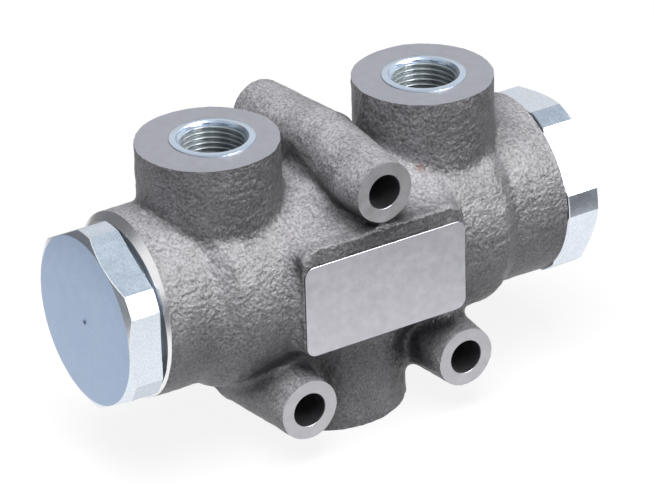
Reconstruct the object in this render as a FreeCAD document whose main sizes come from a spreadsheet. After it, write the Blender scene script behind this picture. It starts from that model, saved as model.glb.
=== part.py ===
import FreeCAD, Part
import math
import os
import re

import Sketcher
from FreeCAD import Rotation, Vector

# Flow divider and combiner with a hooked pair of metering pistons in a cast-iron housing.
# All sizes are in millimetres. The pistons run along X, the outlets A and B face up, the inlet P
# faces down, and the fixing holes run along Y. The origin is under the middle of the valve, on
# the plane of the inlet's face.

SIZES = (
    ("body_length", 110.6, "casting, over its two turned end faces"),
    ("end_radius", 22.0, "casting's neck round each end plug"),
    ("end_chamfer", 1.3, "turned chamfer round each end face"),
    ("bulge_radius", 24.5, "casting's middle, round the pistons"),
    ("bulge_half_length", 34.0, "middle of the casting, up to its shoulder"),
    ("shoulder_length", 10.5, "curve from the middle down to the neck, along the axis"),
    ("port_inset", 26.15, "bores of outlets A and B, from the end faces"),
    ("port_face_height", 36.5, "faces of outlets A and B, over the piston axis"),
    ("port_boss_radius", 16.9, "cast boss of each outlet"),
    ("core_shift_a", 1.4, "the cast boss of outlet A sits this far left of its bore"),
    ("core_shift_b", 0.3, "the cast boss of outlet B sits this far left of its bore"),
    ("core_shift_p", 0.9, "the cast boss of inlet P sits this far left of its bore"),
    ("inlet_face_depth", 39.3, "face of inlet P, under the piston axis"),
    ("inlet_boss_radius", 19.5, "cast boss of the inlet"),
    ("milled_rise", 2.7, "milled faces in front and behind, out of the casting's middle"),
    ("fixing_boss_radius", 9.6, "fixing boss at the mould's parting plane"),
    ("draft_angle", 4.7, "taper of the fixing bosses towards their faces, in degrees"),
    ("fixing_hole_radius", 4.2, "clearance hole for an M8 screw"),
    ("fixing_top_height", 25.1, "upper fixing hole, over the piston axis"),
    ("fixing_low_depth", 25.1, "lower fixing holes, under the piston axis"),
    ("fixing_low_spacing", 43.8, "between the two lower fixing holes"),
    ("pad_width", 44.0, "milled pad on the front"),
    ("pad_height", 23.0, "milled pad on the front"),
    ("pad_corner", 2.5, "rounding of the pad's corners"),
    ("pad_step", 0.3, "how far the pad stands out of the cast block behind it"),
    ("block_margin", 0.3, "the block reaches this far past the pad at its sides and foot"),
    ("block_rise", 4.3, "the block reaches this far over the pad"),
    ("block_corner", 4.0, "rounding of the block's upper corners"),
    ("block_draft", 3.0, "taper of the block's sides, in degrees"),
    ("outlet_root_fillet", 1.3, "casting fillet round the foot of an outlet's boss"),
    ("block_root_fillet", 1.5, "casting fillet round the foot of the pad's block"),
    ("bore_radius", 10.0, "honed bore for the pistons"),
    ("chamber_radius", 13.5, "annular chambers round the honed bore"),
    ("inlet_chamber_half", 8.0, "half the width of the inlet's chamber"),
    ("outlet_chamber_half", 3.0, "half the width of each outlet's chamber"),
    ("mouth_chamfer", 0.8, "lead-in at the mouth of each plug's thread"),
    ("outlet_drill_radius", 5.5, "drilling from outlet down to its chamber"),
    ("inlet_drill_radius", 7.0, "drilling from inlet up to its chamber"),
    ("drill_overlap", 1.3, "how far a drilling runs into its chamber"),
    ("outlet_thread_radius", 7.475, "core of the G 3/8 thread in outlets A and B"),
    ("outlet_bush_radius", 10.1, "outside of the outlets' threaded bushes"),
    ("outlet_bush_length", 12.0, "depth of the outlets' bushes below the face"),
    ("inlet_thread_radius", 9.315, "core of the G 1/2 thread in inlet P"),
    ("inlet_bush_radius", 12.2, "outside of the inlet's threaded bush"),
    ("inlet_bush_length", 14.0, "depth of the inlet's bush below the face"),
    ("bush_rise", 0.3, "how far each bush stands proud of its face"),
    ("bush_chamfer", 0.9, "countersink at the mouth of each thread"),
    ("bush_edge", 0.2, "broken outer edge of each bush"),
    ("hex_across_flats", 41.0, "end plug's hexagon"),
    ("hex_blank_radius", 22.25, "turned corners of the hexagon"),
    ("hex_height", 8.5, "end plug's hexagon"),
    ("hex_face_radius", 20.4, "flat circle in front of the hexagon's chamfer"),
    ("hex_chamfer_angle", 30.0, "chamfer round the hexagon's front, in degrees"),
    ("left_clocking", 0.0, "turn of the left plug's flats from the front, in degrees"),
    ("right_clocking", 23.5, "turn of the right plug's flats from the front, in degrees"),
    ("washer_radius", 19.4, "turned collar under the hexagon"),
    ("washer_height", 1.2, "turned collar under the hexagon"),
    ("dimple_radius", 0.9, "centre mark in the plug's face"),
    ("dimple_depth", 0.35, "centre mark in the plug's face"),
    ("plug_thread_radius", 15.9, "pitch circle of the plug's G 1 thread"),
    ("plug_thread_length", 9.0, "thread of the end plug"),
    ("plug_relief_radius", 14.9, "thread relief under the collar"),
    ("plug_relief_length", 1.6, "thread relief under the collar"),
    ("plug_chamfer", 0.7, "chamfers on the plug's thread and nose"),
    ("nose_radius", 12.97, "plug's nose, inside the seal bore"),
    ("nose_length", 7.0, "plug's nose"),
    ("nose_clearance", 0.05, "gap between nose and seal bore, on the radius"),
    ("seal_groove_radius", 10.9, "bottom of the seal groove in the nose"),
    ("seal_groove_width", 4.0, "seal groove in the nose"),
    ("seal_groove_offset", 1.4, "seal groove, from the end of the thread"),
    ("backup_thickness", 1.2, "backup ring"),
    ("seal_gap", 0.03, "gap left round each seal in its groove"),
    ("spring_pocket_radius", 8.5, "pocket for the centring spring in the plug"),
    ("spring_pocket_floor", 5.3, "solid left between pocket and sealing face"),
    ("thread_clearance", 0.03, "gap at the pitch circle of a thread and round the bushes"),
    ("piston_clearance", 0.02, "running gap of the pistons in their bore, on the radius"),
    ("piston_stroke", 3.0, "travel of the coupled pistons each way"),
    ("piston_end_gap", 0.1, "gap left to the plug at the end of the travel"),
    ("piston_hollow_radius", 6.0, "hollow in the outer part of a piston"),
    ("piston_inner_radius", 7.0, "wider hollow that takes orifice, clip and centre spring"),
    ("piston_chamfer", 0.5, "outer end of a piston"),
    ("window_radius", 2.6, "metering windows in a piston"),
    ("window_count", 6, "metering windows in a piston"),
    ("balance_groove_width", 0.8, "pressure-balance grooves on a piston"),
    ("balance_groove_depth", 0.4, "pressure-balance grooves on a piston"),
    ("balance_groove_pitch", 3.0, "pressure-balance grooves on a piston"),
    ("hook_length", 3.8, "thickness of each hook along the axis"),
    ("hook_gap", 0.06, "gap between the hooks where they pull"),
    ("hook_play", 1.6, "how far the pistons close up when flows combine"),
    ("hook_end_gap", 0.1, "gap left when the pistons are closed up"),
    ("hook_neck_half", 4.5, "half the width of the tongue's neck"),
    ("hook_head_half", 7.6, "half the width of the tongue's head"),
    ("hook_side_gap", 0.3, "gap beside the tongue in its slot"),
    ("orifice_seat", 14.2, "shoulder behind the orifice disc, from the middle of the valve"),
    ("orifice_thickness", 2.0, "orifice disc"),
    ("orifice_radius", 1.7, "fixed metering orifice"),
    ("orifice_countersink", 0.6, "countersink at both ends of the orifice"),
    ("orifice_clearance", 0.05, "gap round the orifice disc"),
    ("clip_thickness", 1.0, "retaining clip of the orifice disc"),
    ("clip_groove_depth", 0.7, "groove for the retaining clip"),
    ("clip_inner_radius", 6.0, "inside of the retaining clip"),
    ("clip_gap", 0.05, "gap round the clip in its groove"),
    ("clip_angle", 310.0, "how far round the retaining clip reaches, in degrees"),
    ("end_spring_radius", 7.35, "coil of a centring spring, to the middle of its wire"),
    ("end_spring_wire", 0.6, "wire of a centring spring, radius"),
    ("end_spring_turns", 3, "open turns of a centring spring"),
    ("centre_spring_radius", 4.9, "coil of the centre spring, to the middle of its wire"),
    ("centre_spring_wire", 0.6, "wire of the centre spring, radius"),
    ("centre_spring_turns", 5, "open turns of the centre spring"),
    ("spring_gap", 0.05, "gap at each end of a spring"),
    ("closed_turn_gap", 0.04, "gap beside the closed turn at each end of a spring"),
)

VALUE = {name: value for name, value, note in SIZES}

doc = FreeCAD.newDocument("flow_divider_valve")
sheet = doc.addObject("Spreadsheet::Sheet", "sizes")
for row, (name, value, note) in enumerate(SIZES, start=1):
    sheet.set(f"A{row}", name)
    sheet.set(f"B{row}", str(value))
    sheet.set(f"C{row}", note)
    sheet.setAlias(f"B{row}", name)
reader = doc.addObject("App::FeaturePython", "reader")
reader.addProperty("App::PropertyFloat", "Result")
doc.recompute()

subparts = []


def linked(text):
    """The expression with each size's name turned into a reference to its cell."""
    return re.sub(r"[a-z_]{3,}", lambda m: "sizes." + m[0] if m[0] in VALUE else m[0], text)


def number(text):
    """What an expression comes to with the sheet's present values."""
    reader.setExpression("Result", linked(text))
    reader.recompute()
    return reader.Result


def mirrored(corners):
    """The outline's corners again on the other side of the sketch's vertical axis."""
    return corners + [(f"-({x})", y) for x, y in reversed(corners)]


# Sketch helpers

def new_body(label):
    body = doc.addObject("PartDesign::Body", label)
    body.Label = label
    subparts.append(body)
    return body


def origin_feature(body, role):
    return next(item for item in body.Origin.OriginFeatures if item.Role == role)


def new_sketch(body, name, plane, offset=None, lift=None):
    sketch = body.newObject("Sketcher::SketchObject", name)
    sketch.AttachmentSupport = (origin_feature(body, plane), "")
    sketch.MapMode = "FlatFace"
    if offset:
        sketch.setExpression("AttachmentOffset.Base.z", linked(offset))
    if lift:
        sketch.setExpression("AttachmentOffset.Base.y", linked(lift))
    return sketch


def bind(sketch, kind, entity, text):
    """A dimension of the sketch that an expression drives."""
    index = sketch.addConstraint(Sketcher.Constraint(kind, *entity, number(text)))
    sketch.setExpression(f"Constraints[{index}]", linked(text))


def place_point(sketch, geometry, point, x, y):
    """Ties a point of the sketch to the two expressions of its coordinates."""
    for kind, axis, text in (("DistanceX", -2, x), ("DistanceY", -1, y)):
        if text == "0":
            sketch.addConstraint(Sketcher.Constraint("PointOnObject", geometry, point, axis))
        else:
            bind(sketch, kind, (-1, 1, geometry, point), text)


def arc_between(start, end, centre_x, clockwise):
    """The arc from start to end whose centre has this x."""
    across = (end.x - start.x) * (end.x + start.x - 2 * centre_x)
    centre = Vector(centre_x, (across / (end.y - start.y) + end.y + start.y) / 2, 0)
    angles = [math.atan2(p.y - centre.y, p.x - centre.x) for p in (start, end)]
    if clockwise:
        angles.reverse()
    circle = Part.Circle(centre, Vector(0, 0, 1), centre.distanceToPoint(start))
    return Part.ArcOfCircle(circle, angles[0], angles[1] + math.tau * (angles[1] < angles[0]))


def add_outline(sketch, corners):
    """A closed outline whose corners are pairs of expressions. Its sides are straight, apart from
    those after a corner with two more items: the x of an arc's centre, and whether the arc
    turns clockwise."""
    count = len(corners)
    first = sketch.GeometryCount
    places = [Vector(number(x), number(y), 0) for x, y, *arc in corners]
    starts, ends = [], []
    for i, (x, y, *arc) in enumerate(corners):
        start, end = places[i], places[(i + 1) % count]
        clockwise = bool(arc) and arc[1]
        if arc:
            sketch.addGeometry(arc_between(start, end, number(arc[0]), clockwise))
        else:
            sketch.addGeometry(Part.LineSegment(start, end))
        starts.append((first + i, 2 if clockwise else 1))
        ends.append((first + i, 1 if clockwise else 2))
    for i in range(count):
        following = starts[(i + 1) % count]
        sketch.addConstraint(Sketcher.Constraint("Coincident", *ends[i], *following))
    for i, (x, y, *arc) in enumerate(corners):
        place_point(sketch, *starts[i], x, y)
        if arc:
            bind(sketch, "DistanceX", (-1, 1, first + i, 3), arc[0])


def add_circle(sketch, x, y, radius):
    centre = Vector(number(x), number(y), 0)
    geometry = sketch.addGeometry(Part.Circle(centre, Vector(0, 0, 1), number(radius)))
    place_point(sketch, geometry, 3, x, y)
    bind(sketch, "Radius", (geometry,), radius)


# Feature helpers

def extrude(body, kind, name, sketch, length, symmetric=False, reverse=False, taper=None):
    feature = body.newObject("PartDesign::" + kind, name)
    feature.Profile = sketch
    feature.SideType = "Symmetric" if symmetric else "One side"
    feature.Reversed = reverse
    feature.setExpression("Length", linked(length))
    if taper:
        feature.setExpression("TaperAngle", linked(taper))
        if symmetric:
            feature.setExpression("TaperAngle2", linked(taper))
    body.Tip = feature
    return feature


def revolve(body, kind, name, sketch, axis, angle=None):
    feature = body.newObject("PartDesign::" + kind, name)
    feature.Profile = sketch
    feature.ReferenceAxis = (sketch, [axis])
    if angle:
        feature.setExpression("Angle", linked(angle))
    body.Tip = feature
    return feature


def polar(body, name, originals, axis, count):
    feature = body.newObject("PartDesign::PolarPattern", name)
    feature.Originals = originals
    feature.Axis = (origin_feature(body, axis), [""])
    feature.Angle = 360
    feature.setExpression("Occurrences", linked(count))
    body.Tip = feature
    return feature


def fillet(body, name, base, edges, radius):
    feature = body.newObject("PartDesign::Fillet", name)
    feature.Base = (base, edges)
    feature.setExpression("Radius", linked(radius))
    body.Tip = feature
    return feature


def edges_where(feature, test):
    """Names of the feature's edges whose sampled points all pass the test."""
    names = []
    for index, edge in enumerate(feature.Shape.Edges, start=1):
        if all(test(point) for point in edge.discretize(7)):
            names.append(f"Edge{index}")
    return names


def round_root(body, before, added, radius):
    """Rounds the edges where a boss meets the casting as it was before the boss."""
    doc.recompute()
    shells = before.Shape.Shells + added.AddSubShape.Shells
    roots = edges_where(
        added, lambda p: all(shell.distToShape(Part.Vertex(p))[0] < 0.001 for shell in shells)
    )
    return fillet(body, f"{added.Name}_root", added, roots, radius)


def seat(body, x="0", y="0", z="0", turn=None):
    """Puts a sub-part in its place, from the middle of the valve on the piston axis."""
    body.Placement = FreeCAD.Placement(Vector(0, 0, 0), turn or Rotation())
    body.setExpression("Placement.Base.x", linked(x))
    body.setExpression("Placement.Base.y", linked(y))
    body.setExpression("Placement.Base.z", linked(f"{AXIS_HEIGHT} + {z}"))


# Places that several pieces share, from the middle of the valve outwards

AXIS_HEIGHT = "inlet_face_depth + bush_rise"
END_FACE = "body_length / 2"
PORT = "(body_length / 2 - port_inset)"
LOW_HOLE = "fixing_low_spacing / 2"
SEAL_BORE = "(nose_radius + nose_clearance)"
PLUG_TAP = "(plug_thread_radius + thread_clearance)"
THREAD_END = "(body_length / 2 - plug_thread_length)"
NOSE_END = "(body_length / 2 - plug_thread_length - nose_length)"
PISTON_RADIUS = "(bore_radius - piston_clearance)"
PISTON_END = f"({NOSE_END} - piston_stroke - piston_end_gap)"
MILLED_FACE = "(bulge_radius + milled_rise)"
FIXING_HOLES = (
    ("0", "fixing_top_height"),
    (f"-{LOW_HOLE}", "-fixing_low_depth"),
    (LOW_HOLE, "-fixing_low_depth"),
)
HOOK_FACE = "(hook_gap / 2)"
HOOK_TIP = "(hook_gap / 2 + hook_length)"
HOOK_ROOT = "(hook_gap / 2 + hook_length + hook_play + hook_end_gap)"
SIDE_TURN = {"left": Rotation(Vector(0, 0, 1), 180), "right": Rotation()}
OUTWARDS = {"left": "-", "right": ""}


# Housing

def barrel(body):
    """The turned form round the pistons: a thick middle that curves down to a neck at each end."""
    middle = "bulge_half_length"
    neck = "(bulge_half_length + shoulder_length)"
    halfway = "(bulge_half_length + shoulder_length / 2)"
    halfway_radius = "(bulge_radius + end_radius) / 2"
    profile = new_sketch(body, "barrel_profile", "XY_Plane")
    add_outline(profile, [
        (f"-{END_FACE}", "0"),
        (END_FACE, "0"),
        (END_FACE, "end_radius - end_chamfer"),
        (f"{END_FACE} - end_chamfer", "end_radius"),
        (neck, "end_radius", neck, True),
        (halfway, halfway_radius, middle, False),
        (middle, "bulge_radius"),
        (f"-{middle}", "bulge_radius", f"-{middle}", False),
        (f"-{halfway}", halfway_radius, f"-{neck}", True),
        (f"-{neck}", "end_radius"),
        (f"-{END_FACE} + end_chamfer", "end_radius"),
        (f"-{END_FACE}", "end_radius - end_chamfer"),
    ])
    return revolve(body, "Revolution", "barrel", profile, "H_Axis")


def port_bosses(body, casting):
    """The bosses of the outlets on top, with rounded roots, and of the inlet below."""
    for port, side in (("a", "-"), ("b", "")):
        circle = new_sketch(body, f"outlet_{port}_circle", "XY_Plane")
        add_circle(circle, f"{side}{PORT} - core_shift_{port}", "0", "port_boss_radius")
        boss = extrude(body, "Pad", f"outlet_{port}_boss", circle, "port_face_height")
        casting = round_root(body, casting, boss, "outlet_root_fillet")
    circle = new_sketch(body, "inlet_circle", "XY_Plane")
    add_circle(circle, "-core_shift_p", "0", "inlet_boss_radius")
    extrude(body, "Pad", "inlet_boss", circle, "inlet_face_depth", reverse=True)


def fixing_bosses(body):
    """Three bosses along Y, each tapering both ways from the mould's parting plane."""
    face_radius = f"(fixing_boss_radius - {MILLED_FACE} * tan(draft_angle))"
    for index, (x, z) in enumerate(FIXING_HOLES, start=1):
        side = "" if index == 1 else "-"
        profile = new_sketch(body, f"fixing_boss_profile_{index}", "YZ_Plane", offset=x, lift=z)
        add_outline(profile, [
            (f"-{MILLED_FACE}", "0"),
            (MILLED_FACE, "0"),
            (MILLED_FACE, f"{side}{face_radius}"),
            ("0", f"{side}fixing_boss_radius"),
            (f"-{MILLED_FACE}", f"{side}{face_radius}"),
        ])
        revolve(body, "Revolution", f"fixing_boss_{index}", profile, "H_Axis")


def rounded_outline(side, foot, top, foot_corner, top_corner):
    """An upright outline, as wide to the left as to the right, with rounded corners."""
    foot_x, top_x = f"({side} - {foot_corner})", f"({side} - {top_corner})"
    low_z, high_z = f"({foot} + {foot_corner})", f"({top} - {top_corner})"
    return [
        (f"-{foot_x}", foot),
        (foot_x, foot, foot_x, False),
        (side, low_z),
        (side, high_z, top_x, False),
        (top_x, top),
        (f"-{top_x}", top, f"-{top_x}", False),
        (f"-{side}", high_z),
        (f"-{side}", low_z, f"-{foot_x}", False),
    ]


def front_block(body, casting):
    """The cast block in front, whose sides taper towards its face, with a rounded root."""
    outline = new_sketch(body, "block_outline", "XZ_Plane", offset=f"{MILLED_FACE} - pad_step")
    add_outline(outline, rounded_outline(
        "(pad_width / 2 + block_margin)", "(-pad_height / 2 - block_margin)",
        "(pad_height / 2 + block_rise)", "pad_corner", "block_corner",
    ))
    block = extrude(
        body, "Pad", "block", outline, f"{MILLED_FACE} - pad_step - bore_radius",
        reverse=True, taper="block_draft",
    )
    return round_root(body, casting, block, "block_root_fillet")


def front_pad(body):
    """The milled pad, which stands a little out of its block."""
    outline = new_sketch(body, "pad_outline", "XZ_Plane", offset=MILLED_FACE)
    add_outline(outline, rounded_outline(
        "(pad_width / 2)", "(-pad_height / 2)", "(pad_height / 2)", "pad_corner", "pad_corner",
    ))
    extrude(body, "Pad", "pad", outline, "pad_step * 2", reverse=True)


def machining(body):
    """Everything cut after casting: bores, seats for plugs and bushes, fixing holes."""
    bore = new_sketch(body, "bore_profile", "XZ_Plane")
    seat_start = f"{NOSE_END} - nose_clearance * 4"
    half = [
        (END_FACE, "0"),
        (END_FACE, f"{PLUG_TAP} + mouth_chamfer"),
        (f"{END_FACE} - mouth_chamfer", PLUG_TAP),
        (THREAD_END, PLUG_TAP),
        (THREAD_END, SEAL_BORE),
        (seat_start, SEAL_BORE),
        (seat_start, "bore_radius"),
        (f"{PORT} + outlet_chamber_half", "bore_radius"),
        (f"{PORT} + outlet_chamber_half", "chamber_radius"),
        (f"{PORT} - outlet_chamber_half", "chamber_radius"),
        (f"{PORT} - outlet_chamber_half", "bore_radius"),
        ("inlet_chamber_half", "bore_radius"),
        ("inlet_chamber_half", "chamber_radius"),
    ]
    add_outline(bore, mirrored(half))
    revolve(body, "Groove", "piston_bore", bore, "H_Axis")

    outlet_seats = new_sketch(body, "outlet_seat_circles", "XY_Plane", offset="port_face_height")
    outlet_drills = new_sketch(body, "outlet_drill_circles", "XY_Plane", offset="port_face_height")
    for side in ("-", ""):
        add_circle(outlet_seats, f"{side}{PORT}", "0", "outlet_bush_radius + thread_clearance")
        add_circle(outlet_drills, f"{side}{PORT}", "0", "outlet_drill_radius")
    extrude(body, "Pocket", "outlet_seats", outlet_seats, "outlet_bush_length")
    extrude(
        body, "Pocket", "outlet_drillings", outlet_drills,
        "port_face_height - chamber_radius + drill_overlap",
    )

    inlet_seat = new_sketch(body, "inlet_seat_circle", "XY_Plane", offset="-inlet_face_depth")
    add_circle(inlet_seat, "0", "0", "inlet_bush_radius + thread_clearance")
    extrude(body, "Pocket", "inlet_seat", inlet_seat, "inlet_bush_length", reverse=True)
    inlet_drill = new_sketch(body, "inlet_drill_circle", "XY_Plane", offset="-inlet_face_depth")
    add_circle(inlet_drill, "0", "0", "inlet_drill_radius")
    extrude(
        body, "Pocket", "inlet_drilling", inlet_drill,
        "inlet_face_depth - chamber_radius + drill_overlap", reverse=True,
    )

    holes = new_sketch(body, "fixing_hole_circles", "XZ_Plane")
    for x, z in FIXING_HOLES:
        add_circle(holes, x, z, "fixing_hole_radius")
    return extrude(body, "Pocket", "fixing_holes", holes, f"{MILLED_FACE} * 3", symmetric=True)


def make_housing():
    body = new_body("housing")
    casting = barrel(body)
    casting = front_block(body, casting)
    port_bosses(body, casting)
    fixing_bosses(body)
    front_pad(body)
    machining(body)
    seat(body)


# End plugs and their seals. Their own X axis points outwards and starts at the sealing face.

def plug_profile():
    nose_end = "-plug_thread_length - nose_length"
    groove_out = "-plug_thread_length - seal_groove_offset"
    groove_in = f"{groove_out} - seal_groove_width"
    face = "washer_height + hex_height"
    chamfer = "(hex_blank_radius - hex_face_radius) * tan(hex_chamfer_angle)"
    return [
        (nose_end, "spring_pocket_radius"),
        (nose_end, "nose_radius - plug_chamfer"),
        (f"{nose_end} + plug_chamfer", "nose_radius"),
        (groove_in, "nose_radius"),
        (groove_in, "seal_groove_radius"),
        (groove_out, "seal_groove_radius"),
        (groove_out, "nose_radius"),
        ("-plug_thread_length", "nose_radius"),
        ("-plug_thread_length", "plug_thread_radius - plug_chamfer"),
        ("-plug_thread_length + plug_chamfer", "plug_thread_radius"),
        ("-plug_relief_length", "plug_thread_radius"),
        ("-plug_relief_length", "plug_relief_radius"),
        ("0", "plug_relief_radius"),
        ("0", "washer_radius"),
        ("washer_height", "washer_radius"),
        ("washer_height", "hex_blank_radius"),
        (f"{face} - {chamfer}", "hex_blank_radius"),
        (face, "hex_face_radius"),
        (face, "dimple_radius"),
        (f"{face} - dimple_depth", "0"),
        ("-spring_pocket_floor", "0"),
        ("-spring_pocket_floor", "spring_pocket_radius"),
    ]


def make_plug(label, side):
    body = new_body(label)
    profile = new_sketch(body, "turned_profile", "XZ_Plane")
    add_outline(profile, plug_profile())
    revolve(body, "Revolution", "turned_blank", profile, "H_Axis")

    # The six flats: everything between a hexagon and a wide circle is milled away.
    flats = new_sketch(body, "flats_outline", "YZ_Plane", offset="washer_height")
    corner = "(hex_across_flats / sqrt(3))"
    add_outline(flats, [
        (f"{corner} * cos({60 * i + 30})", f"{corner} * sin({60 * i + 30})") for i in range(6)
    ])
    add_circle(flats, "0", "0", "hex_blank_radius * 1.2")
    extrude(body, "Pocket", "flats", flats, "hex_height", reverse=True)
    clocking = Rotation(Vector(1, 0, 0), number(f"{side}_clocking"))
    seat(body, OUTWARDS[side] + END_FACE, turn=clocking * SIDE_TURN[side])


def place_on_plug(body, side, inwards):
    """Seats a ring on a plug's nose, this far inside the sealing face."""
    seat(body, f"{OUTWARDS[side]}({END_FACE} - {inwards})", turn=SIDE_TURN[side])


SEAL_SECTION = f"({SEAL_BORE} - seal_groove_radius) / 2 - seal_gap"
SEAL_MIDDLE = f"({SEAL_BORE} + seal_groove_radius) / 2"


def make_o_ring(label, side):
    body = new_body(label)
    section = new_sketch(body, "section", "XZ_Plane")
    add_circle(section, "0", SEAL_MIDDLE, SEAL_SECTION)
    revolve(body, "Revolution", "ring", section, "H_Axis")
    inwards = (
        "(plug_thread_length + seal_groove_offset + seal_gap * 2 + backup_thickness"
        f" + {SEAL_SECTION})"
    )
    place_on_plug(body, side, inwards)


def make_backup_ring(label, side):
    body = new_body(label)
    section = new_sketch(body, "section", "XZ_Plane")
    inner, outer = "seal_groove_radius + seal_gap", f"{SEAL_BORE} - seal_gap"
    add_outline(section, [
        ("-backup_thickness", inner),
        ("-backup_thickness", outer),
        ("0", outer),
        ("0", inner),
    ])
    revolve(body, "Revolution", "ring", section, "H_Axis")
    place_on_plug(body, side, "(plug_thread_length + seal_groove_offset + seal_gap)")


# Threaded bushes in the ports. Their own Z axis points out of the port, from the boss's face.

def make_bush(label, size, x, z, turn=None):
    body = new_body(label)
    profile = new_sketch(body, "turned_profile", "XZ_Plane")
    outside, core, length = f"{size}_bush_radius", f"{size}_thread_radius", f"{size}_bush_length"
    add_outline(profile, [
        (core, f"-{length} + bush_chamfer"),
        (f"{core} + bush_chamfer", f"-{length}"),
        (f"{outside} - bush_edge", f"-{length}"),
        (outside, f"-{length} + bush_edge"),
        (outside, "bush_rise - bush_edge"),
        (f"{outside} - bush_edge", "bush_rise"),
        (f"{core} + bush_chamfer", "bush_rise"),
        (core, "bush_rise - bush_chamfer"),
    ])
    revolve(body, "Revolution", "bush", profile, "V_Axis")
    seat(body, x, z=z, turn=turn)


# Metering pistons. Their own X axis points outwards, from the middle of the valve.

def piston_profile():
    corners = [
        (f"-{HOOK_TIP}", "piston_inner_radius"),
        (f"-{HOOK_TIP}", PISTON_RADIUS),
    ]
    grooves = ["(orifice_seat + balance_groove_pitch * %d)" % i for i in range(3)]
    grooves.append(f"({PORT} + outlet_chamber_half)")
    for start in grooves:
        corners += [
            (start, PISTON_RADIUS),
            (start, f"{PISTON_RADIUS} - balance_groove_depth"),
            (f"{start} + balance_groove_width", f"{PISTON_RADIUS} - balance_groove_depth"),
            (f"{start} + balance_groove_width", PISTON_RADIUS),
        ]
    clip_start = "orifice_seat - orifice_thickness - clip_thickness - clip_gap * 3"
    clip_end = "orifice_seat - orifice_thickness - clip_gap"
    corners += [
        (f"{PISTON_END} - piston_chamfer", PISTON_RADIUS),
        (PISTON_END, f"{PISTON_RADIUS} - piston_chamfer"),
        (PISTON_END, "piston_hollow_radius"),
        ("orifice_seat", "piston_hollow_radius"),
        ("orifice_seat", "piston_inner_radius"),
        (clip_end, "piston_inner_radius"),
        (clip_end, "piston_inner_radius + clip_groove_depth"),
        (clip_start, "piston_inner_radius + clip_groove_depth"),
        (clip_start, "piston_inner_radius"),
    ]
    return corners


def cut_tongue(body):
    """Leaves a T-shaped tongue, which slides sideways into the other piston's slot."""
    cuts = new_sketch(body, "tongue_outline", "XZ_Plane")
    for side in ("", "-"):
        add_outline(cuts, [
            (f"-{HOOK_TIP} - hook_length", f"{side}hook_head_half"),
            (f"-{HOOK_FACE}", f"{side}hook_head_half"),
            (f"-{HOOK_FACE}", f"{side}hook_neck_half"),
            (HOOK_ROOT, f"{side}hook_neck_half"),
            (HOOK_ROOT, f"{side}bore_radius * 1.2"),
            (f"-{HOOK_TIP} - hook_length", f"{side}bore_radius * 1.2"),
        ])
    extrude(body, "Pocket", "tongue", cuts, "bore_radius * 3", symmetric=True)


def cut_slot(body):
    """Cuts the T-shaped slot whose two lips hold the other piston's tongue."""
    cuts = new_sketch(body, "slot_outline", "XZ_Plane")
    neck, head = "(hook_neck_half + hook_side_gap)", "(hook_head_half + hook_side_gap)"
    add_outline(cuts, [
        (f"-{HOOK_TIP} - hook_length", neck),
        (f"-{HOOK_FACE}", neck),
        (f"-{HOOK_FACE}", head),
        (HOOK_ROOT, head),
        (HOOK_ROOT, f"-{head}"),
        (f"-{HOOK_FACE}", f"-{head}"),
        (f"-{HOOK_FACE}", f"-{neck}"),
        (f"-{HOOK_TIP} - hook_length", f"-{neck}"),
    ])
    extrude(body, "Pocket", "slot", cuts, "bore_radius * 3", symmetric=True)


def make_piston(label, side, cut_coupling):
    body = new_body(label)
    profile = new_sketch(body, "turned_profile", "XZ_Plane")
    add_outline(profile, piston_profile())
    revolve(body, "Revolution", "turned_piston", profile, "H_Axis")
    cut_coupling(body)
    circle = new_sketch(body, "window_circle", "XY_Plane")
    add_circle(circle, PORT, "0", "window_radius")
    window = extrude(body, "Pocket", "window", circle, "bore_radius * 1.5", reverse=True)
    polar(body, "windows", [window], "X_Axis", "window_count")
    seat(body, turn=SIDE_TURN[side])


def make_orifice(label, side):
    body = new_body(label)
    profile = new_sketch(body, "turned_profile", "XZ_Plane")
    outer = "(piston_inner_radius - orifice_clearance)"
    back = "(orifice_seat - orifice_clearance)"
    front = f"({back} - orifice_thickness + orifice_clearance)"
    add_outline(profile, [
        (front, "orifice_radius + orifice_countersink"),
        (front, outer),
        (back, outer),
        (back, "orifice_radius + orifice_countersink"),
        (f"{back} - orifice_countersink", "orifice_radius"),
        (f"{front} + orifice_countersink", "orifice_radius"),
    ])
    revolve(body, "Revolution", "disc", profile, "H_Axis")
    seat(body, turn=SIDE_TURN[side])


def make_clip(label, side):
    body = new_body(label)
    profile = new_sketch(body, "section", "XZ_Plane")
    outer = "piston_inner_radius + clip_groove_depth - clip_gap"
    back = "(orifice_seat - orifice_thickness - clip_gap * 2)"
    add_outline(profile, [
        (f"{back} - clip_thickness", "clip_inner_radius"),
        (f"{back} - clip_thickness", outer),
        (back, outer),
        (back, "clip_inner_radius"),
    ])
    revolve(body, "Revolution", "clip", profile, "H_Axis", angle="clip_angle")
    seat(body, turn=SIDE_TURN[side])


# Springs along X. The open turns run into a closed turn at each end, and both ends are ground flat.

def add_turns(body, name, radius, wire, start, height, turns):
    section = new_sketch(body, f"{name}_section", "XZ_Plane")
    add_circle(section, start, radius, wire)
    coil = body.newObject("PartDesign::AdditiveHelix", name)
    coil.Profile = section
    coil.ReferenceAxis = (section, ["H_Axis"])
    coil.Mode = "height-turns-angle"
    coil.setExpression("Height", linked(height))
    coil.setExpression("Turns", linked(turns))
    body.Tip = coil


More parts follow.
